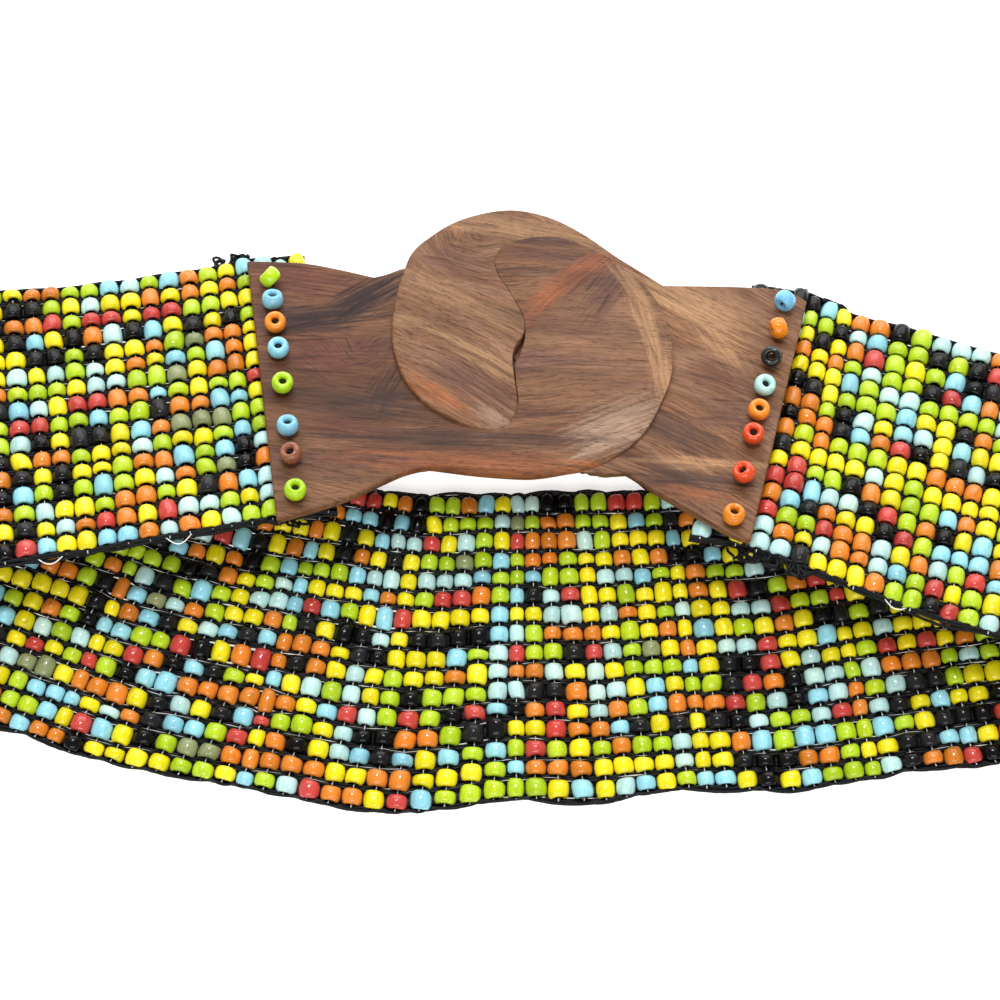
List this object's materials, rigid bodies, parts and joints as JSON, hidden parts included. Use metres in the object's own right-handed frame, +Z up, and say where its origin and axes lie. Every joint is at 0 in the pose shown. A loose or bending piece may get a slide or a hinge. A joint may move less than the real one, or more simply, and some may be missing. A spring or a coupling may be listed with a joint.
{
  "type": "beaded belt",
  "caption": "Stretch waist belt woven of glass seed beads, closed in a loop by a carved wooden clasp of two interlocking round-headed halves",
  "frame": {"origin": "on the table, under the middle of the belt's bounding box", "axes": "+X along the belt from the left fold to the right one, +Y from the back strap's free edge towards the clasp's far side, +Z up"},
  "size_m": [0.3586, 0.138, 0.0275],
  "materials": {
    "rosewood": "dark close-grained hardwood, carved, sanded and waxed to a soft sheen",
    "glass_strap": "opaque glossy seed beads in mixed yellow, lime, blue, orange, red and black",
    "glass_lime": "glossy pressed glass",
    "glass_light_blue": "glossy pressed glass",
    "glass_orange": "glossy pressed glass",
    "glass_copper": "glossy pressed glass",
    "glass_blue": "glossy pressed glass",
    "glass_black": "glossy pressed glass",
    "glass_ice": "glossy pressed glass",
    "glass_red_orange": "glossy pressed glass",
    "elastic_cord": "black stretch cord, softly shiny",
    "nylon_thread": "clear monofilament that reads pale"
  },
  "bodies": {
    "root": {"clasp_half_left": "rosewood", "clasp_half_right": "rosewood", "beaded_strap": "glass_strap", "stopper_bead_left_1": "glass_lime", "stopper_bead_left_2": "glass_light_blue", "stopper_bead_left_3": "glass_orange", "stopper_bead_left_4": "glass_light_blue", "stopper_bead_left_5": "glass_lime", "stopper_bead_left_6": "glass_light_blue", "stopper_bead_left_7": "glass_copper", "stopper_bead_left_8": "glass_lime", "stopper_bead_right_1": "glass_blue", "stopper_bead_right_2": "glass_orange", "stopper_bead_right_3": "glass_black", "stopper_bead_right_4": "glass_ice", "stopper_bead_right_5": "glass_orange", "stopper_bead_right_6": "glass_red_orange", "stopper_bead_right_7": "glass_red_orange", "stopper_bead_right_8": "glass_orange"}
  },
  "joints": []
}
